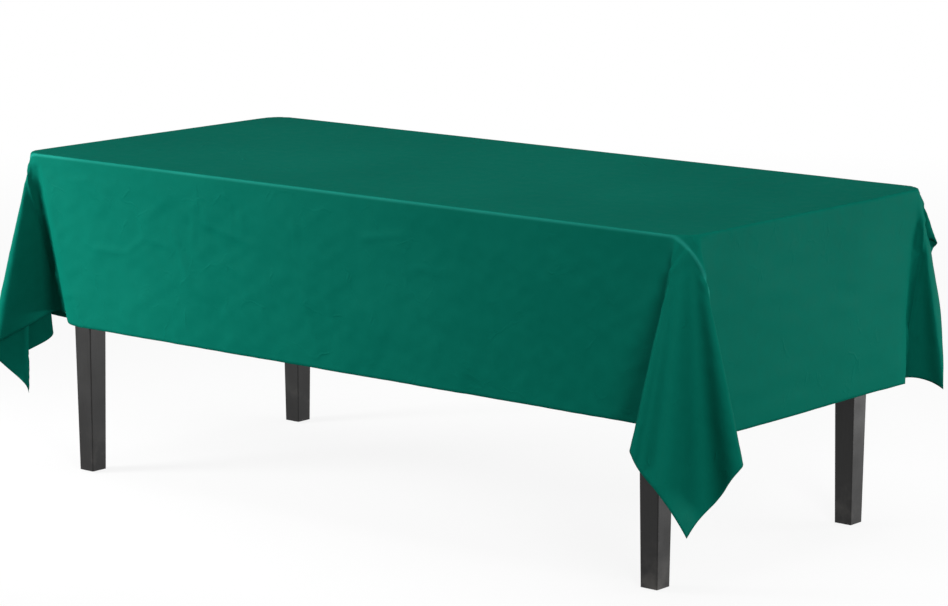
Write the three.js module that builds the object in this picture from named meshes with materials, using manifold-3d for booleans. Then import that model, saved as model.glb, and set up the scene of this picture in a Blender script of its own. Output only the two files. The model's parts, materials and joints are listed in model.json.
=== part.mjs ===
// A rectangular tablecloth draped over a dining table.
// Millimetres, +Z up, +X along the table. The cloth is a plain 54 x 108 inch sheet: it hangs low in
// front (-Y), short behind (+Y), and stands out in a loose fold at each corner. Under it is a
// four-leg table: a board on screwed aprons, and legs drawn into the corners by hanger bolts.

import * as THREE from "three";
import { mergeVertices } from "three/addons/utils/BufferGeometryUtils.js";
import Module from "manifold-3d";

const wasm = await Module();
wasm.setup();

// ---- Driving dimensions -------------------------------------------------------------------------

const GAP = 0.3;                    // between pieces that touch
const HEIGHT = 750;                 // floor to the cloth's top face

const CLOTH_CUT_X = 2743;           // 108 inches
const CLOTH_CUT_Y = 1372;           // 54 inches
const CLOTH_X = 1914;               // across the hanging cloth, outside
const CLOTH_Y = 864;
const CLOTH_THICK = 1.5;
const CLOTH_PLAY = 0.5;             // between the cloth and the board
const CLOTH_BEND = 3.5;             // radius where the cloth turns over the board's edge
const CORNER_RADIUS = 50;           // of the cloth seen from above, over the board's round corners
const FRONT_DROP = 390;
const BACK_DROP = CLOTH_CUT_Y - CLOTH_Y - FRONT_DROP;
const RIGHT_DROP = 418;
const LEFT_DROP = CLOTH_CUT_X - CLOTH_X - RIGHT_DROP;

const BOARD_THICK = 22;
const BOARD_EASE = 2;               // bevel along the board's edges
const BOARD_TOP = HEIGHT - CLOTH_THICK - CLOTH_PLAY;
const BOARD_UNDER = BOARD_TOP - BOARD_THICK;
const BOARD_X = CLOTH_X - 2 * (CLOTH_THICK + CLOTH_PLAY);
const BOARD_Y = CLOTH_Y - 2 * (CLOTH_THICK + CLOTH_PLAY);

const LEG_X = 823;                  // leg centre from the table's middle
const LEG_Y = 353;
const LEG_TOP_WIDTH = 58;
const LEG_FOOT_WIDTH = 43;
const LEG_EASE = 3;                 // radius on the leg's long edges

const APRON_HEIGHT = 100;
const APRON_THICK = 20;
const APRON_SETBACK = 5;            // from the leg's outer face
const APRON_BOTTOM = BOARD_UNDER - GAP - APRON_HEIGHT;
const APRON_MIDDLE = APRON_BOTTOM + APRON_HEIGHT / 2;

const BRACKET_THICK = 2.5;
const BRACKET_HEIGHT = 84;
const BRACKET_FOOT = 55;            // along the apron, from the leg to where the plate turns
const BRACKET_WING = 44;
const BRACKET_LIP = 6;              // turned into a saw kerf in the apron

const BOLT_RADIUS = 4;
const BOLT_HOLE_RADIUS = 4.4;
const BOLT_IN_LEG = 33;
const NUT_HEIGHT = 6.5;
const NUT_FLATS = 13;
const WASHER_THICK = 1.6;
const WASHER_RADIUS = 10;

const SCREW_RADIUS = 2;
const SCREW_HOLE_RADIUS = 2.35;
const SCREW_HEAD_RADIUS = 4.2;
const SCREW_HEAD_HEIGHT = 2.4;
const SHORT_SCREW = 16;
const RAIL_SCREW = 50;

const CLIP_THICK = 2;
const CLIP_WIDTH = 24;
const CLIP_LEG = 24;

const RAIL_THICK = 22;
const RAIL_HEIGHT = 70;

const GLIDE_RADIUS = 12;
const GLIDE_THICK = 3;
const NAIL_RADIUS = 1.4;
const NAIL_LENGTH = 14;

// The origin is the middle of the floor area under the cloth. The front folds reach out further
// than the short back drop, so the table's own middle is this far behind it.
const TABLE_MIDDLE_Y = 51;

// ---- Materials ----------------------------------------------------------------------------------

const finish = (color, roughness, metalness) => () =>
  new THREE.MeshStandardMaterial({ color, roughness, metalness });

const greenVinyl = finish(0x015a4c, 0.55, 0);
const blackPaint = finish(0x26221f, 0.45, 0);
const darkBoard = finish(0x3a2a20, 0.6, 0);
const rawWood = finish(0xb08a5c, 0.75, 0);
const zincSteel = finish(0xb9bcc0, 0.35, 1);
const yellowSteel = finish(0xc2a35a, 0.35, 1);
const whitePlastic = finish(0xd9d7d0, 0.5, 0);

// ---- Solids and booleans ------------------------------------------------------------------------

function toSolid(geometry) {
  const bare = geometry.clone();
  bare.deleteAttribute("normal");
  bare.deleteAttribute("uv");
  const merged = mergeVertices(bare, 1e-4);
  return new wasm.Manifold(new wasm.Mesh({
    numProp: 3,
    vertProperties: new Float32Array(merged.attributes.position.array),
    triVerts: new Uint32Array(merged.index.array),
  }));
}

function toGeometry(solid) {
  const { vertProperties, triVerts } = solid.getMesh();
  const geometry = new THREE.BufferGeometry();
  geometry.setAttribute("position", new THREE.BufferAttribute(vertProperties, 3));
  geometry.setIndex(new THREE.BufferAttribute(triVerts, 1));
  geometry.computeVertexNormals();
  return geometry;
}

// Cuts every tool out of the body. All are geometries in the body's own coordinates.
function cut(body, tools) {
  let solid = toSolid(body);
  for (const tool of tools) {
    solid = solid.subtract(toSolid(tool));
  }
  return toGeometry(solid);
}

// A round rod from one point to another, used as a drill.
function rod(from, to, radius, sides = 12) {
  const start = new THREE.Vector3(...from);
  const run = new THREE.Vector3(...to).sub(start);
  const geometry = new THREE.CylinderGeometry(radius, radius, run.length(), sides);
  geometry.translate(0, run.length() / 2, 0);
  const turn = new THREE.Quaternion().setFromUnitVectors(
    new THREE.Vector3(0, 1, 0), run.clone().normalize());
  return geometry.applyQuaternion(turn).translate(...from);
}

// A body of revolution about Z from [radius, z] points that start and end on the axis.
function turned(profile, sides = 12) {
  const points = profile.map(([radius, z]) => new THREE.Vector2(radius, z));
  return new THREE.LatheGeometry(points, sides).rotateX(Math.PI / 2);
}

function extruded(shape, depth, options = {}) {
  return new THREE.ExtrudeGeometry(shape, { depth, bevelEnabled: false, curveSegments: 4, ...options });
}

function polygon(points) {
  return new THREE.Shape(points.map(([x, y]) => new THREE.Vector2(x, y)));
}

function roundedRectangle(width, height, radius) {
  const shape = new THREE.Shape();
  const x = width / 2 - radius;
  const y = height / 2 - radius;
  shape.absarc(x, y, radius, 0, Math.PI / 2);
  shape.absarc(-x, y, radius, Math.PI / 2, Math.PI);
  shape.absarc(-x, -y, radius, Math.PI, 1.5 * Math.PI);
  shape.absarc(x, -y, radius, 1.5 * Math.PI, 2 * Math.PI);
  shape.closePath();
  return shape;
}

// The outline of a bent strip of sheet metal, from its centreline and thickness.
function strip(line, thickness) {
  const left = [];
  const right = [];
  line.forEach((point, i) => {
    const here = new THREE.Vector2(...point);
    const back = i > 0 ? new THREE.Vector2(...line[i - 1]) : null;
    const next = i < line.length - 1 ? new THREE.Vector2(...line[i + 1]) : null;
    const before = (back ? here.clone().sub(back) : next.clone().sub(here)).normalize();
    const after = (next ? next.clone().sub(here) : before.clone()).normalize();
    const miter = before.clone().add(after).normalize();
    const reach = thickness / 2 / miter.dot(after);
    const across = new THREE.Vector2(-miter.y, miter.x).multiplyScalar(reach);
    left.push([here.x + across.x, here.y + across.y]);
    right.unshift([here.x - across.x, here.y - across.y]);
  });
  return polygon([...left, ...right]);
}

// ---- Assembly -----------------------------------------------------------------------------------

const group = new THREE.Group();
const table = new THREE.Group();
table.position.set(0, TABLE_MIDDLE_Y, 0);
group.add(table);

function add(parent, name, geometry, material, position = [0, 0, 0], turn = 0) {
  const mesh = new THREE.Mesh(geometry, material());
  mesh.name = name;
  mesh.position.set(...position);
  mesh.rotation.z = turn;
  parent.add(mesh);
  return mesh;
}

// ---- Tablecloth ---------------------------------------------------------------------------------

// How the cloth leaves the round corner of the board, for the cloth between one drop and the next.
// Each entry is [angle round the corner in degrees, lean out from the first drop, lean out from the
// second], and a lean is millimetres outwards for each millimetre of fall.
const RIGHT_FRONT_FOLD = [
  [0, 0, 0], [10, 0.03, 0.04], [18, 0.18, 0.05], [27, 0.36, 0.03], [34, 0.30, 0.09],
  [41, 0.22, 0.12], [48, 0.16, 0.13], [55, 0.13, 0.22], [63, 0.07, 0.32], [71, 0.05, 0.19],
  [80, 0.05, 0.04], [90, 0, 0],
];
const LEFT_FRONT_FOLD = [
  [0, 0, 0], [10, 0.04, 0.04], [18, 0.18, 0.05], [26, 0.33, 0.05], [34, 0.24, 0.09],
  [44, 0.10, 0.12], [53, 0.05, 0.28], [60, 0.03, 0.30], [70, 0.05, 0.17], [80, 0.04, 0.05],
  [90, 0, 0],
];
const RIGHT_BACK_FOLD = [
  [0, 0, 0], [7, 0.06, 0.02], [13, 0.10, 0.05], [20, 0.11, 0.12], [32, 0.20, 0.24],
  [46, 0.26, 0.34], [62, 0.17, 0.34], [76, 0.07, 0.18], [90, 0, 0],
];
const LEFT_BACK_FOLD = RIGHT_BACK_FOLD.map(([angle, out, along]) => [90 - angle, along, out]).reverse();

// The four corners in turn, anticlockwise from above, with the drops that they join.
const CORNERS = [
  { x: 1, y: 1, drops: [RIGHT_DROP, BACK_DROP], fold: RIGHT_BACK_FOLD },
  { x: -1, y: 1, drops: [BACK_DROP, LEFT_DROP], fold: LEFT_BACK_FOLD },
  { x: -1, y: -1, drops: [LEFT_DROP, FRONT_DROP], fold: LEFT_FRONT_FOLD },
  { x: 1, y: -1, drops: [FRONT_DROP, RIGHT_DROP], fold: RIGHT_FRONT_FOLD },
];
const RULINGS = 24;                 // straight lines down each corner fold
const DROP_STATIONS = { long: 6, short: 3 };
const FALL_ROWS = [0.12, 0.4, 0.7, 1];

// The fold's lean at an angle, on a smooth curve through its points.
function leanAt(fold, angle) {
  const last = fold.length - 1;
  const i = Math.min(last - 1, fold.findLastIndex((point) => point[0] <= angle + 1e-9));
  const [a, b, c, d] = [fold[Math.max(0, i - 1)], fold[i], fold[i + 1], fold[Math.min(last, i + 2)]];
  const t = (angle - b[0]) / (c[0] - b[0]);
  const spline = (axis) => {
    const slopeB = (c[axis] - a[axis]) / (c[0] - a[0]) * (c[0] - b[0]);
    const slopeC = (d[axis] - b[axis]) / (d[0] - b[0]) * (c[0] - b[0]);
    const rise = c[axis] - b[axis];
    return b[axis] + t * slopeB + t * t * (3 * rise - 2 * slopeB - slopeC)
      + t * t * t * (slopeB + slopeC - 2 * rise);
  };
  return [spline(1), spline(2)];
}

// Every ruling of the hanging cloth, in order round the table: where it leaves the edge, the way it
// faces there, the way it falls, and how long it is.
function clothRulings() {
  const rulings = [];
  CORNERS.forEach((corner, k) => {
    const first = new THREE.Vector3(Math.cos(k * Math.PI / 2), Math.sin(k * Math.PI / 2), 0).round();
    const second = new THREE.Vector3(-first.y, first.x, 0);
    const centre = new THREE.Vector3(
      corner.x * (CLOTH_X / 2 - CORNER_RADIUS), corner.y * (CLOTH_Y / 2 - CORNER_RADIUS), 0);
    const [reachFirst, reachSecond] = corner.drops.map((drop) => drop + CORNER_RADIUS);
    const tip = Math.atan2(reachSecond, reachFirst) * 180 / Math.PI;
    const angles = Array.from({ length: RULINGS + 1 }, (_, i) => i * 90 / RULINGS)
      .filter((angle) => Math.abs(angle - tip) > 1);
    angles.push(tip);
    angles.sort((p, q) => p - q);
    for (const angle of angles) {
      const turn = angle * Math.PI / 180;
      const out = first.clone().multiplyScalar(Math.cos(turn)).addScaledVector(second, Math.sin(turn));
      const [leanFirst, leanSecond] = leanAt(corner.fold, angle);
      const reach = Math.min(
        reachFirst / Math.max(Math.cos(turn), 1e-9), reachSecond / Math.max(Math.sin(turn), 1e-9));
      rulings.push({
        edge: centre.clone().addScaledVector(out, CORNER_RADIUS),
        out,
        fall: new THREE.Vector3(0, 0, -1).addScaledVector(first, leanFirst)
          .addScaledVector(second, leanSecond).normalize(),
        length: reach - CORNER_RADIUS,
      });
    }
    // The straight drop that follows this corner.
    const next = CORNERS[(k + 1) % CORNERS.length];
    const from = rulings.at(-1).edge;
    const to = new THREE.Vector3(
      next.x * (CLOTH_X / 2 - (k % 2 ? 0 : CORNER_RADIUS)),
      next.y * (CLOTH_Y / 2 - (k % 2 ? CORNER_RADIUS : 0)), 0);
    const stations = k % 2 ? DROP_STATIONS.short : DROP_STATIONS.long;
    for (let i = 1; i < stations; i++) {
      rulings.push({
        edge: from.clone().lerp(to, i / stations),
        out: second,
        fall: new THREE.Vector3(0, 0, -1),
        length: corner.drops[1],
      });
    }
  });
  return rulings;
}

// One closed shell: the outer face, the same face moved in by the thickness, and the hem.
function clothGeometry() {
  const rulings = clothRulings();
  const bendSteps = 3;
  const rows = [];
  for (let i = 0; i <= bendSteps; i++) {
    const bend = i / bendSteps * Math.PI / 2;
    rows.push(rulings.map(({ edge, out }) => edge.clone()
      .addScaledVector(out, CLOTH_BEND * (Math.sin(bend) - 1))
      .setZ(HEIGHT - CLOTH_BEND * (1 - Math.cos(bend)))));
  }
  const arc = CLOTH_BEND * Math.PI / 2;
  for (const part of FALL_ROWS) {
    rows.push(rulings.map(({ edge, fall, length }) => edge.clone()
      .setZ(HEIGHT - CLOTH_BEND).addScaledVector(fall, (length - arc) * part)));
  }
  const count = rulings.length;
  const outer = [...rows.flat(), new THREE.Vector3(0, 0, HEIGHT)];
  const middle = outer.length - 1;
  const faces = [];
  for (let i = 0; i < count; i++) {
    const j = (i + 1) % count;
    faces.push([middle, i, j]);
    for (let row = 0; row < rows.length - 1; row++) {
      const [a, b, c, d] = [row * count + i, row * count + j, (row + 1) * count + j, (row + 1) * count + i];
      faces.push([a, d, c], [a, c, b]);
    }
  }
  const skin = new THREE.BufferGeometry().setFromPoints(outer);
  skin.setIndex(faces.flat());
  skin.computeVertexNormals();
  const normals = skin.attributes.normal;
  const inner = outer.map((point, i) => point.clone().addScaledVector(
    new THREE.Vector3().fromBufferAttribute(normals, i), -CLOTH_THICK));
  const shift = outer.length;
  const inside = faces.map(([a, b, c]) => [a + shift, c + shift, b + shift]);
  const hemRow = (rows.length - 1) * count;
  const hem = [];
  for (let i = 0; i < count; i++) {
    const a = hemRow + i;
    const b = hemRow + (i + 1) % count;
    hem.push([a, a + shift, b + shift], [a, b + shift, b]);
  }
  const shell = new THREE.BufferGeometry().setFromPoints([...outer, ...inner]);
  shell.setIndex([...faces, ...inside, ...hem].flat());
  shell.computeVertexNormals();
  return shell;
}

add(table, "tablecloth", clothGeometry(), greenVinyl);

// ---- Board --------------------------------------------------------------------------------------

const APRON_OUT_X = LEG_X + LEG_TOP_WIDTH / 2 - APRON_SETBACK;
const APRON_OUT_Y = LEG_Y + LEG_TOP_WIDTH / 2 - APRON_SETBACK;
const APRON_IN_X = APRON_OUT_X - APRON_THICK;
const APRON_IN_Y = APRON_OUT_Y - APRON_THICK;

// Where a clip ties an apron to the board: a point on the apron's inner face, and the way in.
const CLIPS = [
  ...[-430, 430].flatMap((x) => [[x, -APRON_IN_Y, Math.PI / 2], [x, APRON_IN_Y, -Math.PI / 2]]),
  [-APRON_IN_X, 0, 0],
  [APRON_IN_X, 0, Math.PI],
];
const CLIP_HOLE = CLIP_LEG * 0.62;  // from the bend to the screw, in each leg of the clip

// A screw's hole from the face it enters, a little deeper than the screw.
function pilot(from, way, depth = SHORT_SCREW) {
  const start = new THREE.Vector3(...from).addScaledVector(way, -5);
  const end = new THREE.Vector3(...from).addScaledVector(way, depth - CLIP_THICK + 1);
  return rod(start.toArray(), end.toArray(), SCREW_HOLE_RADIUS, 8);
}

function boardGeometry() {
  const flat = roundedRectangle(
    BOARD_X - 2 * BOARD_EASE, BOARD_Y - 2 * BOARD_EASE,
    CORNER_RADIUS - CLOTH_THICK - CLOTH_PLAY - BOARD_EASE);
  const board = extruded(flat, BOARD_THICK - 2 * BOARD_EASE, {
    bevelEnabled: true, bevelSize: BOARD_EASE, bevelThickness: BOARD_EASE, bevelSegments: 2,
    curveSegments: 8,
  }).translate(0, 0, BOARD_EASE);
  const holes = CLIPS.map(([x, y, turn]) => {
    const reach = GAP + CLIP_HOLE;
    return pilot(
      [x + Math.cos(turn) * reach, y + Math.sin(turn) * reach, 0], new THREE.Vector3(0, 0, 1));
  });
  return cut(board, holes);
}

add(table, "table_top", boardGeometry(), darkBoard, [0, 0, BOARD_UNDER]);

// ---- Aprons and cross rail ----------------------------------------------------------------------

// Seen from above, an apron lies along X with its inner face on y = 0 and its outer face below it.
function apronGeometry(length, clipsAt, railJoint) {
  const kerfAt = length / 2 + GAP - BRACKET_FOOT - BRACKET_WING;
  const kerfHalf = BRACKET_THICK / 2 + GAP;
  const kerfDeep = -(BRACKET_LIP + 1);
  const kerf = (x) => [[x + kerfHalf, 0], [x + kerfHalf, kerfDeep], [x - kerfHalf, kerfDeep], [x - kerfHalf, 0]];
  const outline = polygon([
    [-length / 2, -APRON_THICK], [length / 2, -APRON_THICK], [length / 2, 0],
    ...kerf(kerfAt), ...kerf(-kerfAt), [-length / 2, 0],
  ]);
  const inwards = new THREE.Vector3(0, -1, 0);
  const wingScrew = kerfAt + BRACKET_WING / 2;
  const holes = [
    ...[-wingScrew, wingScrew].map((x) => pilot([x, 0, APRON_HEIGHT / 2], inwards)),
    ...clipsAt.map((x) => pilot([x, 0, APRON_HEIGHT - CLIP_HOLE], inwards)),
  ];
  if (railJoint) {
    holes.push(rod([0, 5, APRON_HEIGHT / 2], [0, -APRON_THICK - 5, APRON_HEIGHT / 2], SCREW_HOLE_RADIUS, 8));
  }
  return cut(extruded(outline, APRON_HEIGHT), holes);
}

const LONG_APRON = 2 * (LEG_X - LEG_TOP_WIDTH / 2 - GAP);
const SHORT_APRON = 2 * (LEG_Y - LEG_TOP_WIDTH / 2 - GAP);

add(table, "front_apron", apronGeometry(LONG_APRON, [-430, 430], true), blackPaint,
  [0, -APRON_IN_Y, APRON_BOTTOM]);
add(table, "back_apron", apronGeometry(LONG_APRON, [-430, 430], true), blackPaint,
  [0, APRON_IN_Y, APRON_BOTTOM], Math.PI);
add(table, "right_apron", apronGeometry(SHORT_APRON, [0], false), blackPaint,
  [APRON_IN_X, 0, APRON_BOTTOM], Math.PI / 2);
add(table, "left_apron", apronGeometry(SHORT_APRON, [0], false), blackPaint,
  [-APRON_IN_X, 0, APRON_BOTTOM], -Math.PI / 2);

function railGeometry() {
  const length = 2 * (APRON_IN_Y - GAP);
  const rail = new THREE.BoxGeometry(RAIL_THICK, length, RAIL_HEIGHT);
  const deep = RAIL_SCREW - APRON_THICK + 2;
  const holes = [-1, 1].map((side) => rod(
    [0, side * (length / 2 + 5), 0], [0, side * (length / 2 - deep), 0], SCREW_HOLE_RADIUS, 8));
  return cut(rail, holes);
}

add(table, "cross_rail", railGeometry(), rawWood, [0, 0, APRON_MIDDLE]);

// ---- Legs, glides and corner brackets -----------------------------------------------------------

const LEG_BOTTOM = GLIDE_THICK + GAP;
const LEG_LENGTH = BOARD_UNDER - GAP - LEG_BOTTOM;
const TAPER_LENGTH = APRON_BOTTOM - 6 - LEG_BOTTOM;
const BOLT_Z = APRON_MIDDLE - LEG_BOTTOM;

// Around a leg, inwards is (-1, -1) once the corner group has been turned.
const INWARDS = new THREE.Vector3(-Math.SQRT1_2, -Math.SQRT1_2, 0);
const LEG_EDGE = LEG_TOP_WIDTH * Math.SQRT1_2;
const BOLT_START = LEG_EDGE - BOLT_IN_LEG;

// Square with eased edges above, tapering on all four faces from just under the aprons.
function legGeometry() {
  const section = roundedRectangle(LEG_TOP_WIDTH, LEG_TOP_WIDTH, LEG_EASE);
  const leg = extruded(section, LEG_LENGTH, { steps: 2, curveSegments: 3 });
  const place = leg.attributes.position;
  for (let i = 0; i < place.count; i++) {
    const z = place.getZ(i);
    if (z < LEG_LENGTH / 4) {
      const shrink = LEG_FOOT_WIDTH / LEG_TOP_WIDTH;
      place.setXY(i, place.getX(i) * shrink, place.getY(i) * shrink);
    } else if (z < LEG_LENGTH * 3 / 4) {
      place.setZ(i, TAPER_LENGTH);
    }
  }
  const bore = rod(
    [...INWARDS.clone().multiplyScalar(BOLT_START - 1).setZ(BOLT_Z)],
    [...INWARDS.clone().multiplyScalar(LEG_EDGE + 5).setZ(BOLT_Z)], BOLT_HOLE_RADIUS, 12);
  const nailHole = rod([0, 0, -5], [0, 0, NAIL_LENGTH + 1], NAIL_RADIUS + GAP, 8);
  return cut(leg, [bore, nailHole]);
}

function glideGeometry() {
  const dish = 0.6;
  return turned([
    [0, 0], [GLIDE_RADIUS - dish, 0], [GLIDE_RADIUS, dish], [GLIDE_RADIUS, GLIDE_THICK - dish],
    [GLIDE_RADIUS - dish, GLIDE_THICK], [NAIL_RADIUS, GLIDE_THICK],
    [NAIL_RADIUS, GLIDE_THICK + NAIL_LENGTH - 3], [0, GLIDE_THICK + NAIL_LENGTH],
  ]);
}

// The bracket is symmetric about the leg's diagonal. Its wings lie on the aprons' inner faces.
const WING_FACE = LEG_TOP_WIDTH / 2 - APRON_SETBACK - APRON_THICK - GAP;
const PLATE_TURN = -(LEG_TOP_WIDTH / 2 + BRACKET_FOOT);
const WING_END = PLATE_TURN - BRACKET_WING;
const PLATE_FROM_LEG = -(PLATE_TURN + WING_FACE - BRACKET_THICK / 2) * Math.SQRT1_2;
const WING_SCREW = PLATE_TURN - BRACKET_WING / 2;

function bracketGeometry() {
  const flat = WING_FACE - BRACKET_THICK / 2;
  const lip = WING_FACE + GAP + BRACKET_LIP;
  const outline = strip([
    [WING_END, lip], [WING_END, flat], [PLATE_TURN, flat],
    [flat, PLATE_TURN], [flat, WING_END], [lip, WING_END],
  ], BRACKET_THICK);
  const middle = BRACKET_HEIGHT / 2;
  const holes = [
    rod([...INWARDS.clone().multiplyScalar(PLATE_FROM_LEG - 20).setZ(middle)],
      [...INWARDS.clone().multiplyScalar(PLATE_FROM_LEG + 20).setZ(middle)], BOLT_HOLE_RADIUS + 0.3, 12),
    rod([WING_SCREW, lip + 5, middle], [WING_SCREW, -20, middle], SCREW_HOLE_RADIUS, 8),
    rod([lip + 5, WING_SCREW, middle], [-20, WING_SCREW, middle], SCREW_HOLE_RADIUS, 8),
  ];
  return cut(extruded(outline, BRACKET_HEIGHT), holes);
}

function boltGeometry() {
  const length = PLATE_FROM_LEG + BRACKET_THICK / 2 + WASHER_THICK + NUT_HEIGHT + 9 - BOLT_START;
  return turned([
    [0, 0], [1.2, 0], [BOLT_RADIUS, 7], [BOLT_RADIUS, length - 1.5], [BOLT_RADIUS - 1, length], [0, length],
  ]);
}

function washerGeometry() {
  const ring = new THREE.Shape().absarc(0, 0, WASHER_RADIUS, 0, 2 * Math.PI);
  ring.holes.push(new THREE.Path().absarc(0, 0, BOLT_HOLE_RADIUS, 0, 2 * Math.PI, true));
  return extruded(ring, WASHER_THICK, { curveSegments: 16 });
}

function nutGeometry() {
  const across = NUT_FLATS / Math.sqrt(3);
  const corners = Array.from({ length: 6 }, (_, i) => i * Math.PI / 3);
  const hexagon = polygon(corners.map((turn) => [across * Math.cos(turn), across * Math.sin(turn)]));
  hexagon.holes.push(new THREE.Path().absarc(0, 0, BOLT_RADIUS + 0.2, 0, 2 * Math.PI, true));
  return extruded(hexagon, NUT_HEIGHT, { curveSegments: 12 });
}

// A pan-head wood screw whose head sits on z = 0 and whose point is down -Z, with a cross recess.
function screwGeometry(length) {
  const body = turned([
    [0, -length], [SCREW_RADIUS, -length + 5], [SCREW_RADIUS, 0], [SCREW_HEAD_RADIUS, 0],
    [SCREW_HEAD_RADIUS, SCREW_HEAD_HEIGHT * 0.4], [SCREW_HEAD_RADIUS * 0.7, SCREW_HEAD_HEIGHT],
    [0, SCREW_HEAD_HEIGHT],
  ], 10);
  const slot = (across, along) => new THREE.BoxGeometry(across, along, 2).translate(0, 0, SCREW_HEAD_HEIGHT);
  return cut(body, [slot(0.9, 4.4), slot(4.4, 0.9)]);
}

const shortScrew = screwGeometry(SHORT_SCREW);
const railScrew = screwGeometry(RAIL_SCREW);

// Puts a screw's head on a point, driven along a way.
function addScrew(parent, name, geometry, head, way, material = yellowSteel) {
  const screw = add(parent, name, geometry, material, head);
  screw.quaternion.setFromUnitVectors(new THREE.Vector3(0, 0, -1), way);
}

const CORNER_NAMES = ["right_back", "left_back", "left_front", "right_front"];

CORNER_NAMES.forEach((name, k) => {
  const corner = new THREE.Group();
  corner.position.set(CORNERS[k].x * LEG_X, CORNERS[k].y * LEG_Y, 0);
  corner.rotation.z = k * Math.PI / 2;
  table.add(corner);
  add(corner, `leg_${name}`, legGeometry(), blackPaint, [0, 0, LEG_BOTTOM]);
  add(corner, `foot_glide_${name}`, glideGeometry(), whitePlastic);
  add(corner, `corner_bracket_${name}`, bracketGeometry(), zincSteel,
    [0, 0, APRON_MIDDLE - BRACKET_HEIGHT / 2]);

  // The bolt, washer and nut lie along the leg's diagonal.
  const alongBolt = (part, geometry, distance) => {
    const at = INWARDS.clone().multiplyScalar(distance).setZ(APRON_MIDDLE);
    const mesh = add(corner, `${part}_${name}`, geometry, zincSteel, at.toArray());
    mesh.quaternion.setFromUnitVectors(new THREE.Vector3(0, 0, 1), INWARDS);
  };
  const washerAt = PLATE_FROM_LEG + BRACKET_THICK / 2 + GAP;
  alongBolt("hanger_bolt", boltGeometry(), BOLT_START);
  alongBolt("washer", washerGeometry(), washerAt);
  alongBolt("nut", nutGeometry(), washerAt + WASHER_THICK + GAP);

  const onWing = WING_FACE - BRACKET_THICK - GAP;
  addScrew(corner, `bracket_screw_a_${name}`, shortScrew, [WING_SCREW, onWing, APRON_MIDDLE],
    new THREE.Vector3(0, 1, 0));
  addScrew(corner, `bracket_screw_b_${name}`, shortScrew, [onWing, WING_SCREW, APRON_MIDDLE],
    new THREE.Vector3(1, 0, 0));
});

// ---- Clips that hold the board, and the rail's screws -------------------------------------------

// An angle of steel strip. One leg lies on the apron's inner face (x = 0), the other under the board.
function clipGeometry() {
  const half = CLIP_THICK / 2;
  const angle = strip([[half, -CLIP_LEG], [half, -half], [CLIP_LEG, -half]], CLIP_THICK);
  const body = extruded(angle, CLIP_WIDTH).translate(0, 0, -CLIP_WIDTH / 2).rotateX(Math.PI / 2);
  const holes = [
    rod([-5, 0, -CLIP_HOLE], [CLIP_LEG + 5, 0, -CLIP_HOLE], SCREW_HOLE_RADIUS, 8),
    rod([CLIP_HOLE, 0, -CLIP_LEG - 5], [CLIP_HOLE, 0, 5], SCREW_HOLE_RADIUS, 8),
  ];
  return cut(body, holes);
}

CLIPS.forEach(([x, y, turn], i) => {
  const clip = new THREE.Group();
  clip.position.set(x, y, BOARD_UNDER - GAP);
  clip.rotation.z = turn;
  table.add(clip);
  add(clip, `top_clip_${i + 1}`, clipGeometry(), zincSteel, [GAP, 0, 0]);
  addScrew(clip, `clip_top_screw_${i + 1}`, shortScrew,
    [GAP + CLIP_HOLE, 0, -CLIP_THICK - GAP], new THREE.Vector3(0, 0, 1));
  addScrew(clip, `clip_side_screw_${i + 1}`, shortScrew,
    [GAP + CLIP_THICK + GAP, 0, -CLIP_HOLE], new THREE.Vector3(-1, 0, 0));
});

for (const [name, side] of [["front", -1], ["back", 1]]) {
  addScrew(table, `rail_screw_${name}`, railScrew,
    [0, side * (APRON_OUT_Y + GAP), APRON_MIDDLE], new THREE.Vector3(0, -side, 0));
}

export default group;
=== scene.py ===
"""A plain green film tablecloth draped over a black dining table."""
import json
import math

import bpy
import numpy as np
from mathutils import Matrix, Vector


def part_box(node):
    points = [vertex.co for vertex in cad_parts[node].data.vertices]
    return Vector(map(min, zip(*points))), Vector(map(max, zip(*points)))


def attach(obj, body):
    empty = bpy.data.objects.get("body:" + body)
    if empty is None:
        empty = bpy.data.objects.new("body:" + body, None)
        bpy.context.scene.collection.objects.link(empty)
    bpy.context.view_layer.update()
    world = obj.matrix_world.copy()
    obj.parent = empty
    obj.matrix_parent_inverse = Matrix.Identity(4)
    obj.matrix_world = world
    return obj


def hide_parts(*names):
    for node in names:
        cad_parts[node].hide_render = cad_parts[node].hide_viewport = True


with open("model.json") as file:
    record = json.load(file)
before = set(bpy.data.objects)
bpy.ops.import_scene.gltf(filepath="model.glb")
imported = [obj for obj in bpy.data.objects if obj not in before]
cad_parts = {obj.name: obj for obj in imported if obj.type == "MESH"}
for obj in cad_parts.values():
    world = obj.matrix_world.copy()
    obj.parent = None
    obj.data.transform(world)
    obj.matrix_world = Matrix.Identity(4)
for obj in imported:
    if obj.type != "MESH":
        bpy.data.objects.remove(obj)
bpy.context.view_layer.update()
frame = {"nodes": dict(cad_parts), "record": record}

scene = bpy.context.scene

# ------------------------------------------------------------------ sizes, metres
TOP_LOW, TOP_HIGH = (np.array(corner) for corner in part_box("table_top"))
MIDDLE = (TOP_LOW + TOP_HIGH) / 2            # the middle of the table, in plan
MIDDLE_X, MIDDLE_Y = float(MIDDLE[0]), float(MIDDLE[1])
CLOTH_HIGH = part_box("tablecloth")[1]
LAY = 0.002                                   # the cloth's outer face stands this far off the board
HALF_X = float(TOP_HIGH[0] - TOP_LOW[0]) / 2 + LAY
HALF_Y = float(TOP_HIGH[1] - TOP_LOW[1]) / 2 + LAY
HEIGHT = float(CLOTH_HIGH[2])
BOARD_UNDER = float(TOP_LOW[2])
CORNER = 0.050                                # radius of the covered corners, in plan
BEND = 0.0035                                 # radius of the cloth over the edge
BEND_RUN = BEND * math.pi / 2
FRONT_DROP, BACK_DROP, RIGHT_DROP, LEFT_DROP = 0.390, 0.118, 0.418, 0.411
FILM = 0.0009                                 # thickness shown at the hem

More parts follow.
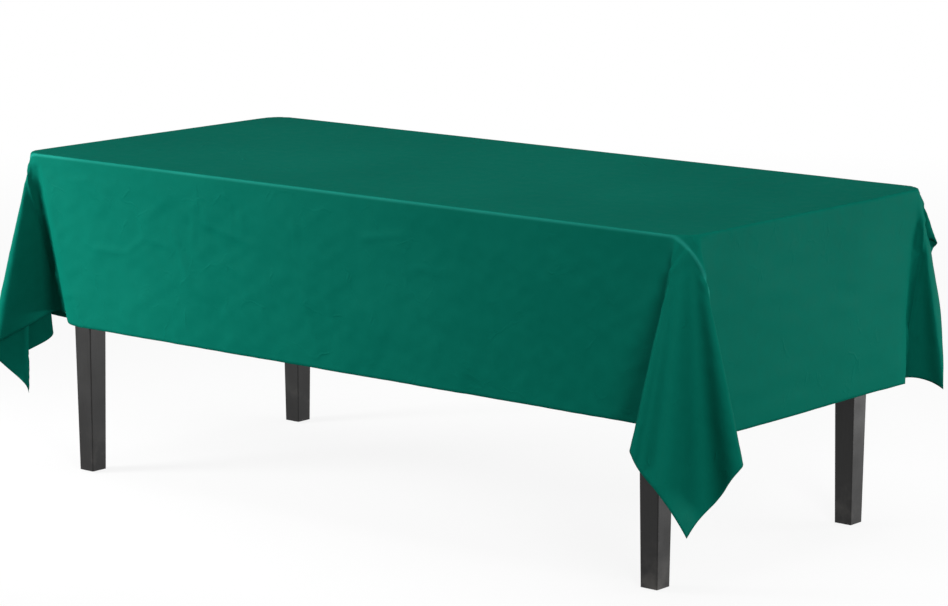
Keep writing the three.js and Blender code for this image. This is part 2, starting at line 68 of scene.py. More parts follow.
# ------------------------------------------------------------------ the folds at the corners
# Each corner hangs as a loose cone. Its outline in plan at depth REACH below the top runs from one side's
# drop to the cloth's own corner, then from there to the next side's drop, anticlockwise round the table.
# A point is (out from the first side, out from the second side), in metres from the square corner.
REACH = 0.40
FOLDS = {
    "right_back": (
        [(0, -.062), (-.010, -.050), (-.024, -.020), (-.022, .008), (0, .018), (.040, .011)],
        [(.04, .011), (.004, .094), (-.06, .18), (-.04, .204), (.016, .19), (-.03, .125),
         (-.04, .07), (-.02, .04), (-.05, 0)]),
    "left_front": (
        [(0, -.13), (.034, -.133), (.104, -.109), (.138, -.086), (.131, -.072), (.09, -.082),
         (.036, -.114), (.019, -.115), (.022, -.095), (.059, -.054), (.073, -.026), (.054, -.022),
         (.02, -.046)],
        [(.02, -.046), (.047, -.002), (.062, .032), (.055, .048), (.024, .053), (.017, .018),
         (.013, -.012), (.006, -.046), (.004, -.085), (-.024, -.093), (-.062, -.068), (-.1, -.035),
         (-.1375, -.006), (-.19, 0)]),
    "right_front": (
        [(0, -.05), (.007, -.010), (.144, -.027), (.161, 0), (.128, -.0055), (.130, .0365), (.067, .052)],
        [(.067, .052), (.036, .042), (.018, .058), (.038, .122), (.026, .134), (.004, .112),
         (-.018, .055), (-.012, .008), (-.05, 0)]),
}
FOLDS["left_back"] = tuple([(b, a) for a, b in reversed(half)] for half in reversed(FOLDS["right_back"]))
CORNERS = (("right_back", 1, 1, RIGHT_DROP, BACK_DROP), ("left_back", -1, 1, BACK_DROP, LEFT_DROP),
           ("left_front", -1, -1, LEFT_DROP, FRONT_DROP), ("right_front", 1, -1, FRONT_DROP, RIGHT_DROP))
OPEN_START, OPEN_RUN = 0.012, 0.012           # a fold opens as if it began this much higher up
CREASE_SOFT, CREASE_OPENS = 0.006, 0.026      # how softly the film bends at the edge, and further down


def smooth_line(points, steps=40):
    """A centripetal spline through the points."""
    p = np.array(points, float)
    p = np.vstack([2 * p[0] - p[1], p, 2 * p[-1] - p[-2]])
    t = np.concatenate([[0], np.cumsum(np.sqrt(np.linalg.norm(np.diff(p, axis=0), axis=1)))])
    out = []
    for i in range(1, len(p) - 2):
        u = np.linspace(t[i], t[i + 1], steps, endpoint=False)[:, None]

        def mix(a, b, ta, tb):
            return (tb - u) / (tb - ta) * a + (u - ta) / (tb - ta) * b
        a1, a2, a3 = (mix(p[j], p[j + 1], t[j], t[j + 1]) for j in (i - 1, i, i + 1))
        b1, b2 = mix(a1, a2, t[i - 1], t[i + 1]), mix(a2, a3, t[i], t[i + 2])
        out.append(mix(b1, b2, t[i], t[i + 1]))
    return np.vstack(out + [p[-2:-1]])


def run_of(line):
    return np.concatenate([[0], np.cumsum(np.linalg.norm(np.diff(line, axis=0), axis=1))])


def fitted_line(points, length):
    """The spline through the points, its inner points moved out or in until it has that length."""
    low, high = 0.5, 2.5
    for _ in range(40):
        grow = (low + high) / 2
        moved = np.array(points, float)
        moved[1:-1] *= grow
        line = smooth_line(moved)
        low, high = (grow, high) if run_of(line)[-1] < length else (low, grow)
    return line


def cone_of(name, first_drop, second_drop):
    """How far the cloth leans at each angle round the corner, with no stretch along the outline."""
    tip = math.atan2(second_drop + CORNER, first_drop + CORNER)
    first, second = FOLDS[name]
    start = -math.atan2(-first[0][1] - CORNER, REACH)
    end = math.pi / 2 + math.atan2(-second[-1][0] - CORNER, REACH)
    rho = REACH * 1.04
    angles, places = [], []
    for points, low, high in ((first, start, tip), (second, tip, end)):
        angle = np.linspace(low, high, 181)
        run = rho * angle + CORNER * np.clip(angle, 0, math.pi / 2)
        line = fitted_line(points, run[-1] - run[0])
        along = run_of(line)
        share = (run - run[0]) / (run[-1] - run[0]) * along[-1]
        angles.append(angle)
        places.append(np.stack([np.interp(share, along, line[:, k]) for k in (0, 1)], -1))
    angle, place = np.concatenate(angles), np.concatenate(places)
    on_arc = np.clip(angle, 0, math.pi / 2)
    arc = CORNER * (np.stack([np.cos(on_arc), np.sin(on_arc)], -1) - 1)
    return angle, (place - arc) / REACH


def hang(edge, outward, beyond, lean):
    """Points that go round the bend at the board's edge, then straight down the leaning line."""
    turn = np.clip(beyond, 0, BEND_RUN) / BEND
    fall = np.maximum(beyond - BEND_RUN, 0)
    way = np.concatenate([lean, -np.ones(lean.shape[:-1] + (1,))], -1)
    way /= np.linalg.norm(way, axis=-1, keepdims=True)
    points = np.empty(edge.shape[:-1] + (3,))
    points[..., :2] = edge + outward * (BEND * (np.sin(turn) - 1))[..., None]
    points[..., :2] += lean * (OPEN_START * (1 - np.exp(-fall / OPEN_RUN)))[..., None]
    points[..., 2] = HEIGHT - BEND * (1 - np.cos(turn))
    return points + way * fall[..., None]


def drape(flat_x, flat_y):
    """Where the flat cloth's points hang, and how deep in a corner's fold each one is (0 or 1)."""
    points = np.stack([flat_x, flat_y, np.full_like(flat_x, HEIGHT)], -1)
    folded = np.zeros(flat_x.shape)
    inner_x, inner_y = HALF_X - CORNER, HALF_Y - CORNER
    none = np.zeros(flat_x.shape + (2,))
    for side in (1, -1):
        out = none.copy()
        out[..., 0] = side
        there = (np.abs(flat_y) <= inner_y) & (side * flat_x > HALF_X - BEND)
        edge = np.stack([np.full_like(flat_x, side * HALF_X), flat_y], -1)
        points[there] = hang(edge, out, side * flat_x - HALF_X + BEND, none)[there]
        out = none.copy()
        out[..., 1] = side
        there = (np.abs(flat_x) <= inner_x) & (side * flat_y > HALF_Y - BEND)
        edge = np.stack([flat_x, np.full_like(flat_x, side * HALF_Y)], -1)
        points[there] = hang(edge, out, side * flat_y - HALF_Y + BEND, none)[there]
    for turn, (name, side_x, side_y, first_drop, second_drop) in enumerate(CORNERS):
        first = np.round([math.cos(turn * math.pi / 2), math.sin(turn * math.pi / 2)])
        second = np.array([-first[1], first[0]])
        centre = np.array([side_x * inner_x, side_y * inner_y])
        u = (flat_x - centre[0]) * first[0] + (flat_y - centre[1]) * first[1]
        v = (flat_x - centre[0]) * second[0] + (flat_y - centre[1]) * second[1]
        angle_list, lean_list = cone_of(name, first_drop, second_drop)
        rim = CORNER - BEND
        # inside the quarter the lines fan from the arc's centre, and past it from the arc's ends
        angle, angle_first, angle_second = np.arctan2(v, u), np.arctan2(v, u - rim), np.arctan2(v - rim, u)
        beyond = np.hypot(u, v) - rim
        there = (u > 0) & (v > 0)
        past_second = (u <= 0) & (v > rim) & (angle_second < angle_list[-1])
        past_first = (v <= 0) & (u > rim) & (angle_first > angle_list[0])
        angle = np.where(past_second, angle_second, np.where(past_first, angle_first, angle))
        beyond = np.where(past_second, np.hypot(u, v - rim), beyond)
        beyond = np.where(past_first, np.hypot(u - rim, v), beyond)
        there = (there | past_first | past_second) & (beyond > 0)
        spread = (CREASE_SOFT + CREASE_OPENS * np.maximum(beyond, 0)) / (CORNER + np.maximum(beyond, 0))
        lean = np.zeros(flat_x.shape + (2,))
        total = 0
        for k in np.linspace(-2, 2, 9):
            share = math.exp(-k * k / 2)
            at = np.clip(angle + k * spread, angle_list[0], angle_list[-1])
            lean += share * np.stack([np.interp(at, angle_list, lean_list[:, c]) for c in (0, 1)], -1)
            total += share
        lean = (lean / total)[..., :1] * first + (lean / total)[..., 1:] * second
        on_arc = np.clip(angle, 0, math.pi / 2)
        outward = np.cos(on_arc)[..., None] * first + np.sin(on_arc)[..., None] * second
        hung = hang(centre + outward * CORNER, outward, beyond, lean)
        points[there] = hung[there]
        folded[there] = 1
    return points, folded


def off_the_board(points):
    """Pushes points beside the board's edge back outside it."""
    reach = points[..., :2]
    over = np.abs(reach) - np.array([HALF_X - CORNER, HALF_Y - CORNER])
    outside = np.maximum(over, 0)
    gap = np.hypot(outside[..., 0], outside[..., 1]) + np.minimum(over.max(-1), 0) - CORNER
    length = np.maximum(np.hypot(outside[..., 0], outside[..., 1]), 1e-6)
    way = np.sign(reach) * outside / length[..., None]
    beside = (points[..., 2] < HEIGHT - BEND) & (points[..., 2] > BOARD_UNDER - 0.004) & (gap < 0)
    moved = points.copy()
    moved[..., :2] -= np.where(beside, gap, 0)[..., None] * way
    return moved


# ------------------------------------------------------------------ the cloth's grid
def grid_lines(low, high, edge_low, edge_high, step, wide_step):
    """Lines across the cloth: close in the drops, wider on top, and three in each bend."""
    def spaced(a, b, size):
        return np.linspace(a, b, max(2, int(round((b - a) / size)) + 1))
    top_low, top_high = edge_low + BEND, edge_high - BEND
    first, last = top_low - BEND_RUN, top_high + BEND_RUN
    near = 5 * step
    return np.unique(np.round(np.concatenate([
        spaced(low, first, step), [(first + top_low) / 2],
        spaced(top_low, top_high, wide_step),
        spaced(top_low, top_low + near, step), spaced(top_high - near, top_high, step),
        [(last + top_high) / 2], spaced(last, high, step)]), 6))


def thin_out(lines, least):
    """Drops lines that come closer than that to the one before, except in the bends."""
    kept = [lines[0]]
    for here in lines[1:]:
        if here - kept[-1] >= least:
            kept.append(here)
    kept[-1] = lines[-1]
    return np.array(kept)


def cloth_grid(step, wide_x, wide_y):
    across = grid_lines(-HALF_X - LEFT_DROP, HALF_X + RIGHT_DROP, -HALF_X, HALF_X, step, wide_x)
    along = grid_lines(-HALF_Y - FRONT_DROP, HALF_Y + BACK_DROP, -HALF_Y, HALF_Y, step, wide_y)
    return thin_out(across, 0.002), thin_out(along, 0.002)


def grid_mesh(name, points, across, along):
    rows, columns = points.shape[:2]
    index = np.arange(rows * columns).reshape(rows, columns)
    quads = np.stack([index[:-1, :-1], index[:-1, 1:], index[1:, 1:], index[1:, :-1]], -1).reshape(-1, 4)
    mesh = bpy.data.meshes.new(name)
    mesh.from_pydata((points + [MIDDLE_X, MIDDLE_Y, 0]).reshape(-1, 3).tolist(), [], quads.tolist())
    layer = mesh.uv_layers.new(name="flat")
    flat = np.stack(np.meshgrid(across - across[0], along - along[0]), -1).reshape(-1, 2)
    layer.data.foreach_set("uv", flat[quads.reshape(-1)].astype(np.float32).reshape(-1))
    mesh.polygons.foreach_set("use_smooth", [True] * len(quads))
    mesh.update()
    obj = bpy.data.objects.new(name, mesh)
    scene.collection.objects.link(obj)
    return obj, index


# ------------------------------------------------------------------ the simulation
# each grid's spacing in the drops, then on top along x and along y
FINE_GRID = (0.0068, 0.0098, 0.034)
SETTLING_GRID = (0.014, 0.036, 0.036)
SETTLE_FRAMES = 16
FARTHEST = 0.014                              # a point may move this far from where it was laid,
NEAR_SHARE = 0.06                             # and near the edge only this share of its distance from it
HOLD_FOLDS, HOLD_DROPS = 0.62, 0.45           # how strongly the laid shape is held while the cloth settles


def settle(across, along):
    """Lets the laid cloth settle under its weight, and gives how far each grid point moved."""
    flat_x, flat_y = np.meshgrid(across, along)
    laid, folded = drape(flat_x, flat_y)
    laid = off_the_board(laid)
    cloth, index = grid_mesh("settling", laid, across, along)
    cloth.shape_key_add(name="laid")
    cut = cloth.shape_key_add(name="cut")
    flat = np.stack([flat_x + MIDDLE_X, flat_y + MIDDLE_Y, np.full_like(flat_x, HEIGHT)], -1)
    cut.data.foreach_set("co", flat.reshape(-1))
    held = cloth.vertex_groups.new(name="held")
    beyond = np.hypot(np.maximum(np.abs(flat_x) - HALF_X + CORNER, 0),
                      np.maximum(np.abs(flat_y) - HALF_Y + CORNER, 0))
    over = (beyond > CORNER - BEND + BEND_RUN + 0.001)
    held.add(index[~over].reshape(-1).tolist(), 1.0, "REPLACE")
    held.add(index[over & (folded > 0)].reshape(-1).tolist(), HOLD_FOLDS, "REPLACE")
    held.add(index[over & (folded == 0)].reshape(-1).tolist(), HOLD_DROPS, "REPLACE")
    board = board_stand_in()
    modifier = cloth.modifiers.new("settle", "CLOTH")
    film = modifier.settings
    film.rest_shape_key = cut
    film.quality = 7
    film.mass = 0.06
    film.air_damping = 4
    film.tension_stiffness = film.compression_stiffness = 40
    film.shear_stiffness = 20
    film.bending_stiffness = 2
    film.tension_damping = film.compression_damping = film.shear_damping = 15
    film.bending_damping = 2
    film.vertex_group_mass = "held"
    film.pin_stiffness = 1
    touch = modifier.collision_settings
    touch.use_collision = True
    touch.distance_min = 0.001
    touch.use_self_collision = True
    touch.self_distance_min = 0.003
    scene.frame_start, scene.frame_end = 1, SETTLE_FRAMES
    modifier.point_cache.frame_start, modifier.point_cache.frame_end = 1, SETTLE_FRAMES
    for number in range(1, SETTLE_FRAMES + 1):
        scene.frame_set(number)
    settled = cloth.evaluated_get(bpy.context.evaluated_depsgraph_get()).to_mesh()
    points = np.empty(len(settled.vertices) * 3, np.float32)
    settled.vertices.foreach_get("co", points)
    moved = points.reshape(laid.shape).astype(float) - [MIDDLE_X, MIDDLE_Y, 0] - laid
    far = np.linalg.norm(moved, axis=-1, keepdims=True)
    most = np.clip(NEAR_SHARE * (beyond - CORNER), 1e-6, FARTHEST)[..., None]
    moved *= most * np.tanh(far / most) / np.maximum(far, 1e-9)
    for obj in (cloth, board):
        data = obj.data
        bpy.data.objects.remove(obj)
        bpy.data.meshes.remove(data)
    scene.frame_set(1)
    return moved


def board_stand_in():
    """The board's shape for the cloth to lie against while it settles."""
    outline = []
    for turn, (side_x, side_y) in enumerate(((1, 1), (-1, 1), (-1, -1), (1, -1))):
        for k in range(9):
            angle = (turn + k / 8) * math.pi / 2
            outline.append((side_x * (HALF_X - CORNER) + (CORNER - LAY) * math.cos(angle),
                            side_y * (HALF_Y - CORNER) + (CORNER - LAY) * math.sin(angle)))
    count = len(outline)
    points = [(x + MIDDLE_X, y + MIDDLE_Y, z) for z in (BOARD_UNDER, HEIGHT - LAY) for x, y in outline]
    faces = [(k, (k + 1) % count, count + (k + 1) % count, count + k) for k in range(count)]
    faces += [tuple(range(count))[::-1], tuple(range(count, 2 * count))]
    mesh = bpy.data.meshes.new("board stand-in")
    mesh.from_pydata(points, [], faces)
    board = bpy.data.objects.new("board stand-in", mesh)
    scene.collection.objects.link(board)
    board.modifiers.new("touch", "COLLISION")
    board.collision.thickness_outer = 0.001
    board.collision.thickness_inner = 0.01
    return board


def resample(values, across, along, new_across, new_along):
    """Cubic interpolation of a grid of values onto a finer grid."""
    def along_axis(data, old, new):
        at = np.clip(np.searchsorted(old, new, side="right") - 1, 0, len(old) - 2)
        size = old[at + 1] - old[at]
        t = ((new - old[at]) / size)[:, None]
        shape = data.shape[1:]
        data = data.reshape(len(old), -1)
        slope = np.gradient(data, old, axis=0)
        a, b = data[at], data[at + 1]
        sa, sb = slope[at] * size[:, None], slope[at + 1] * size[:, None]
        out = ((2 * t**3 - 3 * t**2 + 1) * a + (t**3 - 2 * t**2 + t) * sa
               + (3 * t**2 - 2 * t**3) * b + (t**3 - t**2) * sb)
        return out.reshape((len(new),) + shape)
    rows = along_axis(values, along, new_along)
    return np.swapaxes(along_axis(np.swapaxes(rows, 0, 1), across, new_across), 0, 1)


# ------------------------------------------------------------------ small creases left from the packet
# (x, depth below the top) of each end, then height and half width, all in metres; minus x side first
FRONT_CREASES = [
    ((-.40, .06), (-.41, .16), .0012, .012), ((-.37, .07), (-.36, .12), .0010, .010),
    ((-.47, .12), (-.42, .25), .0012, .012), ((-.26, .06), (-.25, .13), .0011, .011),
    ((-.10, .06), (-.09, .14), .0010, .011), ((-.58, .33), (-.56, .38), .0010, .010),
    ((-.47, .36), (-.46, .39), .0009, .010), ((-.31, .30), (-.27, .37), .0012, .012),
    ((-.08, .23), (-.03, .35), .0013, .013), ((0, .25), (.04, .36), .0012, .012),
    ((.46, .30), (.47, .37), .0010, .011), ((-.80, .05), (-.73, .045), .0009, .010),
    ((-.73, .20), (-.62, .20), .0011, .012), ((-.62, .20), (-.56, .16), .0010, .011),
    ((-.56, .16), (-.48, .17), .0009, .010), ((-.85, .33), (-.78, .31), .0010, .010),
    ((-.36, .11), (-.22, .14), .0010, .011), ((.10, .09), (.22, .07), .0010, .011),
    ((-.04, .40), (.02, .40), .0009, .010), ((.24, .14), (.30, .14), .0009, .010),
]
END_CREASES = [
    ((.20, .10), (.12, .22), .0011, .013), ((-.02, .34), (-.05, .39), .0010, .012),
    ((-.2, .05), (-.24, .18), .0009, .012),
]
CREASE_BOLD = 2.2                             # all the creases' heights are raised by this
BROAD_WAVES, SMALL_WAVES, TOP_WAVES = 0.0016, 0.0008, 0.00025


def crease_height(s, t, creases):
    """Each crease is a soft tent along its line, fading at both ends."""
    total = np.zeros_like(s)
    for (x0, y0), (x1, y1), height, width in creases:
        length = math.hypot(x1 - x0, y1 - y0)
        along = ((s - x0) * (x1 - x0) + (t - y0) * (y1 - y0)) / length
        off = ((s - x0) * (y1 - y0) - (t - y0) * (x1 - x0)) / length
        fade = np.clip(np.minimum(along, length - along) / (0.25 * length) + 0.5, 0, 1)
        total += CREASE_BOLD * height * fade * np.maximum(0, 1 - np.abs(off) / width)
    return total


def waves(s, t, seed, sizes, count=24):
    """Gentle uneven waves: many plane waves of mixed direction, between the two wavelengths."""
    pick = np.random.default_rng(seed)
    total = np.zeros_like(s)
    for _ in range(count):
        angle = pick.uniform(0, math.pi)
        size = sizes[0] * (sizes[1] / sizes[0]) ** pick.uniform()
        phase = pick.uniform(0, 2 * math.pi)
        total += np.sin(2 * math.pi * (s * math.cos(angle) + t * math.sin(angle)) / size + phase) * size
    return total / (math.sqrt(count / 2) * sizes[1])


def normals_of(points):
    dx = np.gradient(points, axis=1)
    dy = np.gradient(points, axis=0)
    n = np.cross(dx, dy)
    return n / np.maximum(np.linalg.norm(n, axis=-1, keepdims=True), 1e-12)


def make_cloth():
    across, along = cloth_grid(*FINE_GRID)
    flat_x, flat_y = np.meshgrid(across, along)
    points, folded = drape(flat_x, flat_y)
    coarse = cloth_grid(*SETTLING_GRID)
    points = points + resample(settle(*coarse), *coarse, across, along)
    out = normals_of(points)
    hanging_front = np.maximum(-flat_y - HALF_Y, 0)
    hanging_right = np.maximum(flat_x - HALF_X, 0)
    hanging_left = np.maximum(-flat_x - HALF_X, 0)
    hanging_back = np.maximum(flat_y - HALF_Y, 0)
    deep = np.maximum.reduce([hanging_front, hanging_right, hanging_left, hanging_back])
    ease = np.clip(deep / 0.06, 0, 1) * (1 - 0.6 * folded)
    relief = ease * (BROAD_WAVES * waves(flat_x, flat_y, 3, (0.12, 0.45))
                     + SMALL_WAVES * waves(flat_x, flat_y, 5, (0.03, 0.09)))
    relief += TOP_WAVES * (deep == 0) * waves(flat_x, flat_y, 8, (0.15, 0.5))
    relief += (hanging_front > 0) * crease_height(flat_x, hanging_front, FRONT_CREASES)
    relief += (hanging_right > 0) * crease_height(flat_y, hanging_right, END_CREASES)
    points = off_the_board(points + out * relief[..., None])
    top = deep == 0
    points[..., 2] = np.where(top, np.minimum(points[..., 2], HEIGHT), points[..., 2])
    cloth, _ = grid_mesh("cloth", points, across, along)
    solid = cloth.modifiers.new("film", "SOLIDIFY")
    solid.thickness = FILM
    solid.offset = -1
    return cloth


# ------------------------------------------------------------------ materials
def new_material(name):
    material = bpy.data.materials.new(name)
    material.use_nodes = True
    tree = material.node_tree
    shader = tree.nodes["Principled BSDF"]

    def node(kind, **values):
        made = tree.nodes.new(kind)
        for key, value in values.items():
            if key in made.inputs:
                made.inputs[key].default_value = value
            else:
                setattr(made, key, value)
        return made

    def link(source, target):
        tree.links.new(source, target)
    return material, shader, node, link


def ramp(node, link, source, low, high, from_low=0.0, from_high=1.0):
    made = node("ShaderNodeMapRange")
    made.inputs["From Min"].default_value = from_low
    made.inputs["From Max"].default_value = from_high
    made.inputs["To Min"].default_value = low
    made.inputs["To Max"].default_value = high
    link(source, made.inputs["Value"])
    return made.outputs["Result"]


def blend_colours(node, link, factor, first, second):
    mix = node("ShaderNodeMix", data_type="RGBA")
    link(factor, mix.inputs["Factor"])
    for socket, colour in ((mix.inputs[6], first), (mix.inputs[7], second)):
        if isinstance(colour, tuple):
            socket.default_value = colour + (1.0,)
        else:
            link(colour, socket)
    return mix.outputs[2]


def film_material():
    material, shader, node, link = new_material("green film")
    place = node("ShaderNodeUVMap", uv_map="flat")
    broad = node("ShaderNodeTexNoise", Scale=2.2, Detail=3.0, Roughness=0.5)
    link(place.outputs["UV"], broad.inputs["Vector"])
    fine = node("ShaderNodeTexNoise", Scale=38.0, Detail=5.0, Roughness=0.6)
    link(place.outputs["UV"], fine.inputs["Vector"])
    tone = blend_colours(node, link, ramp(node, link, broad.outputs["Fac"], 0, 1, 0.3, 0.7),
                         (0.0008, 0.098, 0.068), (0.0018, 0.112, 0.078))
    mottled = blend_colours(node, link, ramp(node, link, fine.outputs["Fac"], 0, 0.35, 0.35, 0.8), tone,
                            (0.0030, 0.128, 0.092))
    # a painted highlight: the base colour is made paler, in patches, along the bend where the film is
    # drawn over the front edge, and the pale band runs on down the ridges that continue from it
    flat = node("ShaderNodeSeparateXYZ")
    link(place.outputs["UV"], flat.inputs["Vector"])
    off_edge = node("ShaderNodeMath", operation="SUBTRACT")
    link(flat.outputs["Y"], off_edge.inputs[0])
    off_edge.inputs[1].default_value = FRONT_DROP + BEND_RUN / 2 - BEND
    distance = node("ShaderNodeMath", operation="ABSOLUTE")
    link(off_edge.outputs[0], distance.inputs[0])
    rim_highlight_band = ramp(node, link, distance.outputs[0], 1, 0, 0.001, 0.0055)
    rim_highlight_share = node("ShaderNodeMath", operation="MULTIPLY")
    link(rim_highlight_band, rim_highlight_share.inputs[0])
    link(ramp(node, link, broad.outputs["Fac"], 0.35, 0.9, 0.35, 0.65), rim_highlight_share.inputs[1])
    # the pale colour (0.012, 0.20, 0.155) mixed in here is the painted highlight on the front edge's bend
    link(blend_colours(node, link, rim_highlight_share.outputs[0], mottled, (0.012, 0.20, 0.155)),
         shader.inputs["Base Color"])
    link(ramp(node, link, fine.outputs["Fac"], 0.46, 0.60, 0.3, 0.7), shader.inputs["Roughness"])
    shader.inputs["IOR"].default_value = 1.03
    # an embossed cross-grain like a fine weave, and faint crumples
    grain = []
    for direction in ("X", "Y"):
        wave = node("ShaderNodeTexWave", bands_direction=direction, Scale=210.0, Distortion=0.6,
                    Detail=1.0)
        link(place.outputs["UV"], wave.inputs["Vector"])
        grain.append(wave.outputs["Fac"])
    weave = node("ShaderNodeMath", operation="MULTIPLY")
    link(grain[0], weave.inputs[0])
    link(grain[1], weave.inputs[1])
    crumple = node("ShaderNodeTexNoise", Scale=9.0, Detail=4.0, Roughness=0.55, Distortion=1.2)
    link(place.outputs["UV"], crumple.inputs["Vector"])
    shake = node("ShaderNodeTexNoise", Scale=13.0, Detail=2.0)
    link(place.outputs["UV"], shake.inputs["Vector"])
    shaken = node("ShaderNodeVectorMath", operation="MULTIPLY_ADD")
    link(shake.outputs["Color"], shaken.inputs[0])
    shaken.inputs[1].default_value = (0.09, 0.09, 0.0)
    link(place.outputs["UV"], shaken.inputs[2])
    ridge = node("ShaderNodeTexVoronoi", feature="DISTANCE_TO_EDGE", Scale=11.0)
    link(shaken.outputs["Vector"], ridge.inputs["Vector"])
    lines = ramp(node, link, ridge.outputs["Distance"], 1.0, 0.0, 0.0, 0.05)
    marks = node("ShaderNodeMath", operation="MULTIPLY")
    link(lines, marks.inputs[0])
    link(ramp(node, link, crumple.outputs["Fac"], 0, 1, 0.54, 0.74), marks.inputs[1])
    normal = None
    relief = ((weave.outputs[0], 0.25, 0.0002), (crumple.outputs["Fac"], 0.12, 0.003),
              (marks.outputs[0], 0.50, 0.0020), (fine.outputs["Fac"], 0.15, 0.0004))
    for source, strength, distance in relief:
        bump = node("ShaderNodeBump", Strength=strength, Distance=distance)
        link(source, bump.inputs["Height"])
        if normal is not None:
            link(normal, bump.inputs["Normal"])
        normal = bump.outputs["Normal"]
    link(normal, shader.inputs["Normal"])
    return material


def wood_grain(node, link, direction, scale):
    """Object coordinates drawn out along the grain."""
    place = node("ShaderNodeTexCoord")
    stretch = node("ShaderNodeMapping")
    stretch.inputs["Scale"].default_value = tuple(
        scale * (0.06 if axis == direction else 1.0) for axis in "XYZ")
    link(place.outputs["Object"], stretch.inputs["Vector"])
    return place, stretch.outputs["Vector"]


def paint_material(name, direction):
    """Black satin paint over wood, the grain just showing, scuffed low down."""
    material, shader, node, link = new_material(name)
    place, drawn = wood_grain(node, link, direction, 60.0)
    grain = node("ShaderNodeTexNoise", Scale=6.0, Detail=6.0, Roughness=0.65)
    link(drawn, grain.inputs["Vector"])
    dust = node("ShaderNodeTexNoise", Scale=14.0, Detail=4.0, Roughness=0.6)
    link(place.outputs["Object"], dust.inputs["Vector"])
    base = blend_colours(node, link, ramp(node, link, grain.outputs["Fac"], 0, 1, 0.35, 0.7),
                         (0.0030, 0.0028, 0.0027), (0.0060, 0.0057, 0.0054))
    height = node("ShaderNodeSeparateXYZ")
    link(place.outputs["Object"], height.inputs["Vector"])
    low = ramp(node, link, height.outputs["Z"], 1.0, 0.0, 0.0, 0.12)
    scuff = node("ShaderNodeMath", operation="MULTIPLY", use_clamp=True)
    link(low, scuff.inputs[0])
    link(ramp(node, link, dust.outputs["Fac"], 0, 1, 0.5, 0.75), scuff.inputs[1])
    link(blend_colours(node, link, scuff.outputs[0], base, (0.055, 0.052, 0.048)),
         shader.inputs["Base Color"])
    link(ramp(node, link, dust.outputs["Fac"], 0.28, 0.40, 0.3, 0.7), shader.inputs["Roughness"])
    shader.inputs["Specular IOR Level"].default_value = 0.30
    bump = node("ShaderNodeBump", Strength=0.25, Distance=0.0006)
    link(grain.outputs["Fac"], bump.inputs["Height"])
    link(bump.outputs["Normal"], shader.inputs["Normal"])
    return material


def timber_material(name, direction, light, dark, scale=22.0):
    """Bare timber with long grain and growth lines."""
    material, shader, node, link = new_material(name)
    place, drawn = wood_grain(node, link, direction, scale)
    grain = node("ShaderNodeTexNoise", Scale=4.0, Detail=8.0, Roughness=0.62, Distortion=0.8)
    link(drawn, grain.inputs["Vector"])
    pores = node("ShaderNodeTexNoise", Scale=32.0, Detail=4.0, Roughness=0.7)
    link(drawn, pores.inputs["Vector"])
    base = blend_colours(node, link, ramp(node, link, grain.outputs["Fac"], 0, 1, 0.35, 0.65),
                         light, dark)
    link(blend_colours(node, link, ramp(node, link, pores.outputs["Fac"], 0, 0.5, 0.55, 0.75), base,
                       tuple(0.45 * c for c in dark)), shader.inputs["Base Color"])
    link(ramp(node, link, grain.outputs["Fac"], 0.55, 0.75), shader.inputs["Roughness"])
    bump = node("ShaderNodeBump", Strength=0.3, Distance=0.0005)
    link(pores.outputs["Fac"], bump.inputs["Height"])
    link(bump.outputs["Normal"], shader.inputs["Normal"])
    return material


def board_material():
    """A chipboard core under a plain black lacquer, with flecks where it shows."""
    material, shader, node, link = new_material("lacquered board")
    place = node("ShaderNodeTexCoord")
    chips = node("ShaderNodeTexVoronoi", Scale=150.0, Randomness=1.0)
    link(place.outputs["Object"], chips.inputs["Vector"])
    cloud = node("ShaderNodeTexNoise", Scale=7.0, Detail=5.0)
    link(place.outputs["Object"], cloud.inputs["Vector"])
    base = blend_colours(node, link, ramp(node, link, cloud.outputs["Fac"], 0, 1, 0.35, 0.65),
                         (0.010, 0.0095, 0.009), (0.020, 0.019, 0.0175))
    link(blend_colours(node, link, ramp(node, link, chips.outputs["Distance"], 0.25, 0.0, 0.0, 0.5), base,
                       (0.045, 0.040, 0.034)), shader.inputs["Base Color"])
    link(ramp(node, link, cloud.outputs["Fac"], 0.55, 0.68, 0.3, 0.7), shader.inputs["Roughness"])
    shader.inputs["Specular IOR Level"].default_value = 0.25
    bump = node("ShaderNodeBump", Strength=0.2, Distance=0.0004)
    link(chips.outputs["Distance"], bump.inputs["Height"])
    link(bump.outputs["Normal"], shader.inputs["Normal"])
    return material


def metal_material(name, light, dark, roughness):
    """Plated steel: cloudy plating, fine draw marks and dull patches."""
    material, shader, node, link = new_material(name)
    place = node("ShaderNodeTexCoord")
    cloud = node("ShaderNodeTexNoise", Scale=55.0, Detail=5.0, Roughness=0.6)
    link(place.outputs["Object"], cloud.inputs["Vector"])
    drawn = node("ShaderNodeMapping")
    drawn.inputs["Scale"].default_value = (900.0, 900.0, 60.0)
    link(place.outputs["Object"], drawn.inputs["Vector"])
    marks = node("ShaderNodeTexNoise", Scale=1.0, Detail=2.0)
    link(drawn.outputs["Vector"], marks.inputs["Vector"])
    link(blend_colours(node, link, ramp(node, link, cloud.outputs["Fac"], 0, 1, 0.35, 0.65), light, dark),
         shader.inputs["Base Color"])
    shader.inputs["Metallic"].default_value = 1.0
    link(ramp(node, link, cloud.outputs["Fac"], roughness, roughness + 0.2, 0.3, 0.7),
         shader.inputs["Roughness"])
    bump = node("ShaderNodeBump", Strength=0.15, Distance=0.0002)
    link(marks.outputs["Fac"], bump.inputs["Height"])
    link(bump.outputs["Normal"], shader.inputs["Normal"])
    return material


